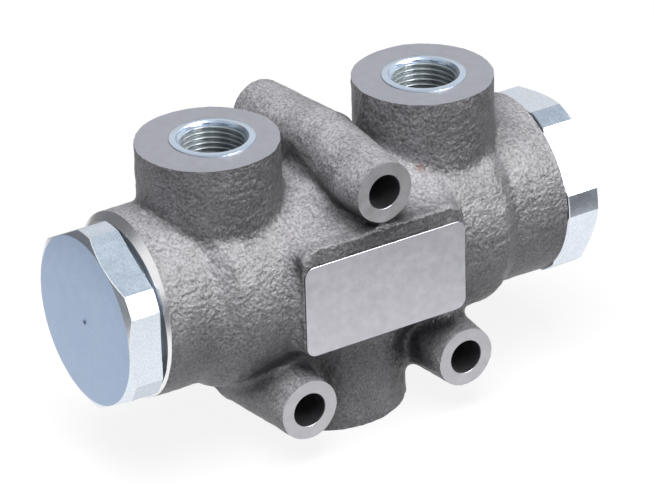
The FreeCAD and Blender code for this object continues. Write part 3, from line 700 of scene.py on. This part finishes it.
def plated_steel(name, colour, roughness, spangle=0.04):
    """Zinc-plated steel, whose crystals are darker by the share that spangle gives."""
    material, tree, shader, place = new_material(name)
    cloud = noise_at(tree, place, size=4, detail=4, roughness=0.6)
    fine = noise_at(tree, place, size=0.25)
    crystal = summed(tree, cloud, noise_at(tree, place, size=0.5), weight=1.5)
    haze = summed(tree, cloud, fine, weight=0.3)
    share = mapped(tree, crystal, CRYSTAL_RANGE)
    set_shader(
        tree, shader, Metallic=1.0,
        Base_Color=mixed_colour(tree, share, toned(colour, 1 - spangle), colour),
        Roughness=mapped(tree, haze, HAZE_RANGE, around(roughness)),
        Normal=bumped(tree, fine, strength=0.15, depth=0.02),
    )
    return material


def plain_metal(name, colour, roughness):
    material, tree, shader, place = new_material(name)
    fine = noise_at(tree, place, size=0.3, detail=3)
    set_shader(
        tree, shader, Metallic=1.0,
        Base_Color=mixed_colour(tree, fine, toned(colour, 0.8), colour),
        Roughness=mapped(tree, fine, NOISE_RANGE, around(roughness)),
        Normal=bumped(tree, fine, strength=0.1, depth=0.02),
    )
    return material


def soft_seal(name, colour, roughness):
    material, tree, shader, place = new_material(name)
    fine = noise_at(tree, place, size=0.2)
    set_shader(
        tree, shader, Roughness=roughness,
        Base_Color=mixed_colour(tree, fine, colour, toned(colour, 1.3)),
        Normal=bumped(tree, fine, strength=0.1, depth=0.02),
    )
    return material


# The finishes of the housing, the plugs and the bushes. A face names its finish by the place in
# the list, and has the first one until it gets another.

IRON = (0.44, 0.445, 0.495)
HOUSING_FINISHES = [
    cast_iron_skin(),
    machined_iron("outlet_a_face", IRON, (-PORT_X, 0, 0), "Z", 0.25),
    machined_iron("outlet_b_face", IRON, (PORT_X, 0, 0), "Z", 0.25),
    machined_iron("inlet_face", IRON, (0, 0, 0), "Z", 0.25),
    # The fixing faces are lighter than the outlets' faces, partly for their cut and partly as
    # painted light from the front.
    machined_iron("fixing_face", (0.54, 0.54, 0.57), (0, 0, 60), "Y", 0.4),
    # The pad is lighter still, partly for its fly-cut finish and partly as painted light from the
    # front.
    machined_iron("pad_face", (0.66, 0.655, 0.715), (-45, 0, -75), "Y", 0.6),
    machined_iron("end_face", (0.60, 0.61, 0.63), (0, 0, 0), "X", 0.2),
    # Painted shade: the walls of the bores are darker than the same iron outside.
    machined_iron("bore_wall_painted_shade", (0.22, 0.22, 0.235), (0, 0, 0), "X", 0.3),
    # Painted highlight: the turned chamfer at the ends is near white, as the highlight it catches.
    plain_metal("end_chamfer", (0.95, 0.95, 0.97), 0.2),
]
SKIN, OUTLET_A, OUTLET_B, INLET, FIXING, PAD, END, BORE, CHAMFER = range(len(HOUSING_FINISHES))
# The plugs' plating is one zinc in lit and shaded copies: painted shade on the face and the other
# turned faces, painted light on the flats, painted shade on the corners and the collar, and a
# painted highlight on the broken edges.
PLUG_FINISHES = [
    plated_steel("zinc_plate_painted_shade", (0.335, 0.43, 0.585), 0.26),
    plated_steel("zinc_flats_painted_light", (0.79, 0.85, 0.93), 0.22, spangle=0.14),
    plated_steel("zinc_corners_painted_shade", (0.63, 0.69, 0.77), 0.24, spangle=0.12),
    plated_steel("zinc_collar_painted_shade", (0.24, 0.27, 0.32), 0.35),
    plain_metal("zinc_edges_painted_highlight", (0.97, 0.98, 1.0), 0.5),
]
FLATS, CORNERS, COLLAR, EDGES = range(1, len(PLUG_FINISHES))
BUSH_FINISHES = [
    plated_steel("bush_zinc", (0.56, 0.64, 0.75), 0.3),
    plain_metal("bush_thread", (0.36, 0.40, 0.42), 0.55),
]
THREAD = 1

# The pieces inside keep their CAD meshes. Their materials go by how their names start.

NODE_MATERIALS = {
    "piston": plain_metal("ground_steel", (0.55, 0.55, 0.57), 0.22),
    "orifice_disc": plain_metal("turned_steel", (0.50, 0.50, 0.52), 0.32),
    "orifice_clip": plain_metal("clip_steel", (0.30, 0.29, 0.28), 0.35),
    "centring_spring": plain_metal("spring_wire", (0.40, 0.40, 0.42), 0.3),
    "centre_spring": plain_metal("centre_spring_wire", (0.40, 0.40, 0.42), 0.3),
    "plug_o_ring": soft_seal("rubber", (0.02, 0.02, 0.022), 0.55),
    "plug_backup_ring": soft_seal("white_plastic", (0.78, 0.77, 0.72), 0.45),
}

# The housing. Its faces are told apart by where their centres lie, to within NEAR, and by how
# their normals slant.

NEAR = 0.01
FLAT = 0.99
CHAMFER_SLANT = 0.707
ROUND_PAD = 0.1
ROUND_HOLE = 0.4
CREASE = math.radians(20)
FACED_PLANES = (
    (0, CAST_LOW[0], END), (0, CAST_HIGH[0], END),
    (1, CAST_LOW[1], FIXING), (1, CAST_HIGH[1], FIXING),
    (2, CAST_LOW[2], INLET), (2, CAST_HIGH[2], OUTLET_A),
)


def read_items(items, attribute, width=1, kind=float):
    """One attribute of a mesh's items as an array, in rows where it is a vector."""
    values = np.empty(len(items) * width, kind)
    items.foreach_get(attribute, values)
    return values.reshape(-1, width) if width > 1 else values


def cast_housing():
    casting = add_object("housing_casting", casting_mesh())
    boolean(casting, box_mesh(CAST_LOW, CAST_HIGH), "INTERSECT")
    boolean(casting, end_turning(), "INTERSECT")
    boolean(casting, pad_mesh(), "UNION")
    cutters = [bore_cutter(), outlet_cutter(-PORT_X), outlet_cutter(PORT_X), inlet_cutter()]
    cutters += [hole_cutter(x, z) for x, z in FIXING_HOLES]
    cutter = add_object("cutter", cutters[0])
    for other in cutters[1:]:
        boolean(cutter, other, "UNION")
    boolean(casting, cutter.data, "DIFFERENCE")
    bpy.data.objects.remove(cutter)
    finish_housing(casting.data)
    return casting


def finish_housing(mesh):
    """Gives each face of the housing its finish: cast skin, a machined face or the wall of a
    bore."""
    mesh.materials.clear()
    for material in HOUSING_FINISHES:
        mesh.materials.append(material)
    centres = read_items(mesh.polygons, "center", 3)
    normals = read_items(mesh.polygons, "normal", 3)
    x, y, z = centres.T
    finish = np.full(len(centres), SKIN, np.int32)
    for axis, level, index in FACED_PLANES:
        in_plane = np.abs(centres[:, axis] - level) < NEAR
        finish[in_plane & (np.abs(normals[:, axis]) > FLAT)] = index
    finish[(finish == OUTLET_A) & (x > 0)] = OUTLET_B
    on_pad = (y < ROUND_PAD - HALF_WIDTH) & (np.abs(z) < PAD_HALF_HEIGHT + ROUND_PAD)
    finish[on_pad] = PAD
    chamfer = np.where(x > 0, END_CHAMFER[1], END_CHAMFER[-1])
    on_cone = np.abs(np.abs(normals[:, 0]) - CHAMFER_SLANT) < NEAR
    turned = (BODY_HALF - np.abs(x) < CHAMFER_CONE * chamfer) & on_cone
    finish[turned & (finish == SKIN) & (np.hypot(y, z) > END_RADIUS - chamfer)] = CHAMFER
    bored = np.hypot(y, z) < PLUG_THREAD_RADIUS + NEAR
    for port_x, radius, on_side in (
        (-PORT_X, OUTLET_BUSH_RADIUS, z > 0),
        (PORT_X, OUTLET_BUSH_RADIUS, z > 0),
        (0, INLET_BUSH_RADIUS, z < 0),
    ):
        bored |= (np.hypot(x - port_x, y) < radius + 2 * SEAT_GAP) & on_side
    for hole_x, hole_z in FIXING_HOLES:
        bored |= np.hypot(x - hole_x, z - hole_z) < FIXING_HOLE_RADIUS + ROUND_HOLE
    finish[bored & (finish == SKIN)] = BORE
    mesh.polygons.foreach_set("material_index", finish)
    add_painted_shade(mesh)
    to_frame(mesh)
    mesh.update()
    mark_finish_edges(mesh)


def add_painted_shade(mesh):
    """Stores each point's share of painted shade, which darkens the casting's corners and hollows."""
    points = read_items(mesh.vertices, "co", 3)
    normals = read_items(mesh.vertex_normals, "vector", 3)
    painted_shade = mesh.attributes.new("painted_shade", "FLOAT", "POINT")
    painted_shade.data.foreach_set("value", painted_shade_share(points, normals))


def mark_finish_edges(mesh):
    """Keeps the shading crisp where two finishes meet, and at the edges of what is machined."""
    mesh.shade_smooth()
    edge_of = read_items(mesh.loops, "edge_index", kind=np.int32)
    totals = read_items(mesh.polygons, "loop_total", kind=np.int32)
    finish = read_items(mesh.polygons, "material_index", kind=np.int32)
    normals = read_items(mesh.polygons, "normal", 3)
    face_of = np.repeat(np.arange(len(totals)), totals)
    order = np.argsort(edge_of, kind="stable")
    first, second = face_of[order[0::2]], face_of[order[1::2]]
    edges = edge_of[order[0::2]]
    bend = (normals[first] * normals[second]).sum(1)
    machined = (finish[first] != SKIN) & (bend < math.cos(CREASE))
    sharp = np.zeros(len(mesh.edges), bool)
    sharp[edges] = (finish[first] != finish[second]) | machined
    attribute = mesh.attributes.get("sharp_edge")
    if not attribute:
        attribute = mesh.attributes.new("sharp_edge", "BOOLEAN", "EDGE")
    attribute.data.foreach_set("value", sharp)


# End plugs, turned and milled. A plug's own Z axis points outwards from its sealing face.

HEX_APOTHEM = 20.5
HEX_BLANK_RADIUS = 22.25
HEX_FACE_RADIUS = 20.4
HEX_CHAMFER = math.radians(30)
SIXTH = math.pi / 3
FLAT_POINTS, CORNER_POINTS = 25, 9
PLUG_FACE = 9.7
PLUG_CLOCKING = {-1: 0.0, 1: math.radians(23.5)}
PLUG_CREASE = math.radians(14)
COLLAR_RADIUS = 19.4
COLLAR_HEIGHT = {-1: 1.2, 1: 0.15}
BROKEN_EDGE = 0.2
TINY = 0.01
SPRING_POCKET, SPRING_POCKET_RADIUS = 5.3, 8.5
PLUG_NOSE, NOSE_RADIUS, NOSE_CHAMFER = 7, 12.97, 0.7
GROOVE_TOP, GROOVE_WIDTH, GROOVE_RADIUS = 1.4, 4, 10.9
RELIEF_LENGTH, RELIEF_RADIUS = 1.6, 14.9
PLUG_PITCH, PLUG_CREST, PLUG_ROOT = 2.309, 16.45, 15.05
THREAD_LEAD_IN = 0.4
STEPS_PER_TURN = 4
CENTRE_MARK = ((0, 10.0), (0, 1.0), (0.12, 0.75), (0.35, TINY))
CORNER_SLANT, EDGE_SLANTS = 0.1, (0.3, 0.7)


def hexagon_angles():
    """Angles round the plug: even steps, with one at each edge between a flat and a corner."""
    edge = math.acos(HEX_APOTHEM / HEX_BLANK_RADIUS)
    shares = np.concatenate([
        np.linspace(-edge, edge, FLAT_POINTS),
        np.linspace(edge, SIXTH - edge, CORNER_POINTS)[1:-1],
    ])
    return np.concatenate([shares + i * math.pi / 3 for i in range(6)])


def hexagon_radius(angles):
    turned = np.abs((angles + math.pi / 6) % SIXTH - math.pi / 6)
    return np.minimum(HEX_BLANK_RADIUS, HEX_APOTHEM / np.cos(turned))


def plug_rows(angles, collar):
    """The plug's outline, with a collar of this height under its hexagon. The edge round its face
    is rounded in steps, which are shares of the broken edge."""
    hexagon = hexagon_radius(angles)
    face, broken = PLUG_FACE, BROKEN_EDGE
    shoulder = face - np.maximum(hexagon - HEX_FACE_RADIUS, 0) * math.tan(HEX_CHAMFER)
    shoulder_top = np.minimum(shoulder + broken * 0.3, face - broken * 0.15)
    thread_end = -PLUG_THREAD_LENGTH
    nose_end = thread_end - PLUG_NOSE
    groove_top = thread_end - GROOVE_TOP
    groove_foot = groove_top - GROOVE_WIDTH
    return [
        (-SPRING_POCKET, TINY),
        (-SPRING_POCKET, SPRING_POCKET_RADIUS),
        (nose_end, SPRING_POCKET_RADIUS),
        (nose_end, NOSE_RADIUS - NOSE_CHAMFER),
        (nose_end + NOSE_CHAMFER, NOSE_RADIUS),
        (groove_foot, NOSE_RADIUS),
        (groove_foot, GROOVE_RADIUS),
        (groove_top, GROOVE_RADIUS),
        (groove_top, NOSE_RADIUS),
        (thread_end, NOSE_RADIUS),
        *plug_thread(),
        (-RELIEF_LENGTH, RELIEF_RADIUS),
        (0, RELIEF_RADIUS),
        (0, COLLAR_RADIUS),
        (collar, COLLAR_RADIUS),
        (collar, hexagon - broken),
        (collar + broken, hexagon),
        (shoulder - broken * 0.8, hexagon),
        (shoulder_top, hexagon - broken * 0.6),
        (face - broken * 0.1, np.minimum(HEX_FACE_RADIUS, hexagon - broken * 0.7)),
        (face, HEX_FACE_RADIUS - broken),
        *((face - depth, radius) for depth, radius in CENTRE_MARK),
    ]


def plug_thread():
    """The thread's outline: of each turn's steps, two are at the crest and the others at the
    root."""
    length = PLUG_THREAD_LENGTH - RELIEF_LENGTH
    steps = int(length / PLUG_PITCH * STEPS_PER_TURN)
    rows = [(-PLUG_THREAD_LENGTH, PLUG_ROOT - THREAD_LEAD_IN)]
    for i in range(1, steps):
        height = -PLUG_THREAD_LENGTH + length * i / steps
        rows.append((height, PLUG_CREST if i % STEPS_PER_TURN in (1, 2) else PLUG_ROOT))
    rows.append((-RELIEF_LENGTH, PLUG_ROOT))
    return rows


def finish_flats(mesh, collar):
    """The plating comes in lit and shaded copies: the drawn flats and the hexagon's chamfer are
    painted light, brighter than the painted shade on the turned faces; the turned corners between
    the flats and the collar are duller, as painted shade; and the broken edges carry a painted
    highlight."""
    for face in mesh.polygons:
        across = math.hypot(face.center.y, face.center.z - AXIS) / MM
        slant = abs(face.normal.x)
        broken = EDGE_SLANTS[0] < slant < EDGE_SLANTS[1]
        if abs(face.center.x) / MM < BODY_HALF + collar + NEAR:
            face.material_index = COLLAR
        elif across > HEX_FACE_RADIUS:
            corner = across > HEX_BLANK_RADIUS - NEAR and slant < CORNER_SLANT
            face.material_index = EDGES if broken else CORNERS if corner else FLATS


def make_plug(side):
    node = "end_plug_right" if side > 0 else "end_plug_left"
    outwards = Matrix.Rotation(side * math.pi / 2, 4, "Y")
    clocking = Matrix.Rotation(PLUG_CLOCKING[side], 4, "X")
    place = Matrix.Translation((side * BODY_HALF, 0, 0)) @ clocking @ outwards
    angles = hexagon_angles()
    rows = plug_rows(angles, COLLAR_HEIGHT[side])
    mesh = lathe(rows, angles, place @ Matrix.Rotation(math.pi / 2, 4, "Z"))
    to_frame(mesh)
    for material in PLUG_FINISHES:
        mesh.materials.append(material)
    finish_flats(mesh, COLLAR_HEIGHT[side])
    mesh.shade_smooth()
    mesh.set_sharp_from_angle(angle=PLUG_CREASE)
    plug = add_object(node + "_plated", mesh)
    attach(plug, "valve_body")
    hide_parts(node)


# Threaded bushes in the ports. A thread has a pitch, a depth and the radius of its core.

G38_THREAD = (1.337, 0.856, 7.475)
G12_THREAD = (1.814, 1.162, 9.315)
ROOT_LAND, FLANK = 0.12, 0.76
ROWS_PER_TURN = 12
BUSH_SEGMENTS = 120
BUSH_EDGE = 0.25
BUSH_CREASE = math.radians(40)
MOUTH_OVER_THREAD = 0.2
MOUTH_LIP = 0.15


def whitworth(turns):
    """A rounded thread's height from 0 at the root to 1 at the crest."""
    share = np.abs(turns % 1 - 0.5) * 2
    return smooth_step((share - ROOT_LAND) / FLANK)


def make_bush(node, thread, length, outside, place):
    """A bush with a helical thread inside and a countersunk mouth. Its own Z axis points out of
    the port from the boss's face."""
    pitch, depth, core = thread
    angles = even_angles(BUSH_SEGMENTS)
    chamfer = depth + MOUTH_OVER_THREAD
    step = pitch / ROWS_PER_TURN
    heights = np.arange(-length, BUSH_RISE + step / 2, step)
    inner = []
    for height in heights[::-1]:
        crest = whitworth(height / pitch - angles / math.tau)
        radius = core + depth * (1 - crest)
        mouth = core + chamfer - (BUSH_RISE - height)
        foot = core + chamfer - (height + length)
        inner.append((height, np.maximum(radius, np.maximum(mouth, foot))))
    top = heights[-1]
    outer = [
        (-length, inner[-1][1] + TINY),
        (-length, outside - BUSH_EDGE),
        (-length + BUSH_EDGE, outside),
        (top - BUSH_EDGE, outside),
        (top - BUSH_EDGE * 0.3, outside - BUSH_EDGE * 0.3),
        (top, outside - BUSH_EDGE),
        (top, inner[0][1] + MOUTH_LIP),
    ]
    mesh = ring_mesh(outer + inner, angles, place)
    to_frame(mesh)
    mesh.shade_smooth()
    mesh.set_sharp_from_angle(angle=BUSH_CREASE)
    for material in BUSH_FINISHES:
        mesh.materials.append(material)
    mouth_rows = math.ceil(chamfer / step)
    for face in mesh.polygons[(len(outer) + mouth_rows) * len(angles):]:
        face.material_index = THREAD
    bush = add_object(node + "_threaded", mesh)
    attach(bush, "valve_body")
    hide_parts(node)


# The pieces inside.

SPRING_BODIES = {
    "centring_spring_left": ("valve_body", "left_piston"),
    "centring_spring_right": ("left_piston", "valve_body"),
    "centre_spring": ("left_piston", "right_piston"),
}


def flex_springs():
    """Each spring gets its own copy of its CAD mesh, in the frame, and its CAD node is hidden."""
    for name, (left_body, right_body) in SPRING_BODIES.items():
        spring = add_object(name + "_wire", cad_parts[name].data.copy())
        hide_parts(name)
        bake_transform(spring)


def dress_inner_nodes():
    for name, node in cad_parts.items():
        for start, material in NODE_MATERIALS.items():
            if name.startswith(start):
                node.data.materials.clear()
                node.data.materials.append(material)


# Stage, light and camera. The camera's clip range, the floor and the lights are in metres.

CAMERA_AZIMUTH = math.radians(-31.916)
CAMERA_ELEVATION = math.radians(27.669)
CAMERA_ROLL = math.radians(-1.609)
CAMERA_DISTANCE = 1006.451
CAMERA_SHIFT = (0.846, -0.288)
CAMERA_LENS = 234.6
CAMERA_CLIP = (0.01, 50)
SENSOR_WIDTH = 36.0

# Each light has a name, an azimuth and an elevation in degrees, its distance, size, power and
# colour, and whether it shows in gloss or lights the valve.
LIGHTS = (
    ("key", -40, 73, 0.9, 0.7, 9.0, (1.0, 0.99, 0.98), False),
    ("front", 26, 40, 0.9, 0.6, 17.0, (1.0, 1.0, 1.0), True),
)

# The room, by direction: a range of one coordinate and the shares at its ends. Its ceiling is
# grey, and only gloss shows its dark parts: a band at the horizon and a flag behind on the left.
ROOM_WHITE, CEILING_GREY, ROOM_DARK = (1, 1, 1), (0.56, 0.62, 0.68), (0.05, 0.055, 0.07)
CEILING = (0.6, 0.82), (0, 1)
HORIZON = (0.10, 0.28), (0.8, 0)
FLAG_X = (-0.15, 0.1), (1, 0)
FLAG_Y = (0.15, 0.5), (0, 0.85)
FLAG_Z = (0.60, 0.66), (1, 0)
AMBIENT = {"Color": (0.86, 0.90, 1.0, 1), "Strength": 0.05}

# The floor is white to the camera and grey under the lights. In gloss it fades in front on the
# right and far away.
FLOOR_HALF = 1.5
FLOOR_GREY = (0.18, 0.18, 0.18, 1)
FLOOR_GLOW = (0, 1), (0.07, 0.88)
FRONT_FADE = (0.088, 0.165), (0, 0.85)
FRONT_SLANT = 0.5
FAR_FADE = (0.14, 0.28), (0, 0.8)
REVERSED = (0, 1), (1, 0)


def back_direction(azimuth, elevation):
    """The direction from the valve to what looks at it, with azimuth 0 in front."""
    sin_a, cos_a = math.sin(azimuth), math.cos(azimuth)
    return Vector((sin_a * math.cos(elevation), -cos_a * math.cos(elevation), math.sin(elevation)))


def make_camera():
    back = back_direction(CAMERA_AZIMUTH, CAMERA_ELEVATION)
    level = Vector((math.cos(CAMERA_AZIMUTH), math.sin(CAMERA_AZIMUTH), 0))
    upright = back.cross(level)
    right = level * math.cos(CAMERA_ROLL) + upright * math.sin(CAMERA_ROLL)
    up = upright * math.cos(CAMERA_ROLL) - level * math.sin(CAMERA_ROLL)
    place = back * CAMERA_DISTANCE + right * CAMERA_SHIFT[0] + up * CAMERA_SHIFT[1]
    data = bpy.data.cameras.new("camera")
    data.lens, data.sensor_width = CAMERA_LENS, SENSOR_WIDTH
    data.clip_start, data.clip_end = CAMERA_CLIP
    camera = add_object("camera", data)
    camera.matrix_world = (
        Matrix.Translation(place * MM + Vector((0, 0, AXIS)))
        @ Matrix((right, up, back)).transposed().to_4x4()
    )
    bpy.context.scene.camera = camera


def seen_directly(tree):
    """1 for rays that show the background: from the camera, or by way of gloss or glass."""
    rays = tree.nodes.new("ShaderNodeLightPath").outputs
    share = rays["Is Camera Ray"]
    for name in ("Is Glossy Ray", "Is Transmission Ray"):
        share = computed(tree, "MAXIMUM", share, rays[name])
    return share


def shown_in_gloss(tree):
    """0 for what the camera sees of the background, 1 for what the valve's gloss shows of it."""
    rays = tree.nodes.new("ShaderNodeLightPath").outputs
    return computed(tree, "SUBTRACT", 1.0, rays["Is Camera Ray"])


def make_world():
    world = bpy.data.worlds.new("studio")
    bpy.context.scene.world = world
    world.use_nodes = True
    tree = world.node_tree
    tree.nodes.clear()
    direction = tree.nodes.new("ShaderNodeTexCoord").outputs["Generated"]
    split = add_node(tree, "SeparateXYZ", {0: direction}).outputs
    room = mixed_colour(tree, mapped(tree, split["Z"], *CEILING), ROOM_WHITE, CEILING_GREY)
    flag = product(
        tree, mapped(tree, split["X"], *FLAG_X), mapped(tree, split["Y"], *FLAG_Y),
        mapped(tree, split["Z"], *FLAG_Z),
    )
    dark = computed(tree, "MAXIMUM", mapped(tree, split["Z"], *HORIZON), flag)
    room = mixed_colour(tree, product(tree, dark, shown_in_gloss(tree)), room, ROOM_DARK)
    ambient = add_node(tree, "Background", AMBIENT).outputs[0]
    shown = add_node(tree, "Background", {"Color": room, "Strength": 1.0}).outputs[0]
    mix = add_node(tree, "MixShader", {0: seen_directly(tree), 1: ambient, 2: shown})
    add_node(tree, "OutputWorld", {"Surface": mix.outputs[0]})


def make_floor():
    mesh = bpy.data.meshes.new("floor")
    corners = [(-1, -1), (1, -1), (1, 1), (-1, 1)]
    points = [(x * FLOOR_HALF, y * FLOOR_HALF, 0) for x, y in corners]
    mesh.from_pydata(points, [], [(0, 1, 2, 3)])
    material = bpy.data.materials.new("floor")
    material.use_nodes = True
    tree = material.node_tree
    tree.nodes.clear()
    place = tree.nodes.new("ShaderNodeTexCoord").outputs["Object"]
    split = add_node(tree, "SeparateXYZ", {0: place}).outputs
    forward = summed(tree, product(tree, split["Y"], -1.0), split["X"], FRONT_SLANT)
    away = add_node(tree, "VectorMath", {0: place}, operation="LENGTH").outputs["Value"]
    faded = computed(
        tree, "MAXIMUM", mapped(tree, forward, *FRONT_FADE), mapped(tree, away, *FAR_FADE)
    )
    kept = mapped(tree, product(tree, faded, shown_in_gloss(tree)), *REVERSED)
    bright = product(tree, mapped(tree, seen_directly(tree), *FLOOR_GLOW), kept)
    diffuse = add_node(tree, "BsdfDiffuse", {"Color": FLOOR_GREY}).outputs[0]
    glow = add_node(tree, "Emission", {"Color": (1, 1, 1, 1), "Strength": bright}).outputs[0]
    both = add_node(tree, "AddShader", {0: diffuse, 1: glow})
    add_node(tree, "OutputMaterial", {"Surface": both.outputs[0]})
    mesh.materials.append(material)
    add_object("floor", mesh)


def add_area_light(name, azimuth, elevation, distance, size, power, colour, in_gloss):
    """A soft box that points at the valve. It either lights the valve or shows in its gloss."""
    back = back_direction(math.radians(azimuth), math.radians(elevation))
    data = bpy.data.lights.new(name, "AREA")
    data.shape, data.size, data.energy, data.color = "SQUARE", size, power, colour
    light = add_object(name, data)
    light.visible_glossy, light.visible_diffuse = in_gloss, not in_gloss
    light.location = back * distance + Vector((0, 0, AXIS))
    light.rotation_euler = back.to_track_quat("Z", "Y").to_euler()


make_camera()
make_world()
make_floor()
for light in LIGHTS:
    add_area_light(*light)
bpy.context.scene.view_settings.view_transform = "Standard"

housing = cast_housing()
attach(housing, "valve_body")
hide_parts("housing")
for side in (-1, 1):
    make_plug(side)
for node, x in (("port_a_bush", -PORT_X), ("port_b_bush", PORT_X)):
    outlet = Matrix.Translation((x, 0, TOP_FACE))
    make_bush(node, G38_THREAD, OUTLET_BUSH_LENGTH, OUTLET_BUSH_RADIUS, outlet)
inlet = Matrix.Translation((0, 0, INLET_FACE)) @ UPSIDE_DOWN
make_bush("inlet_bush", G12_THREAD, INLET_BUSH_LENGTH, INLET_BUSH_RADIUS, inlet)
dress_inner_nodes()
flex_springs()
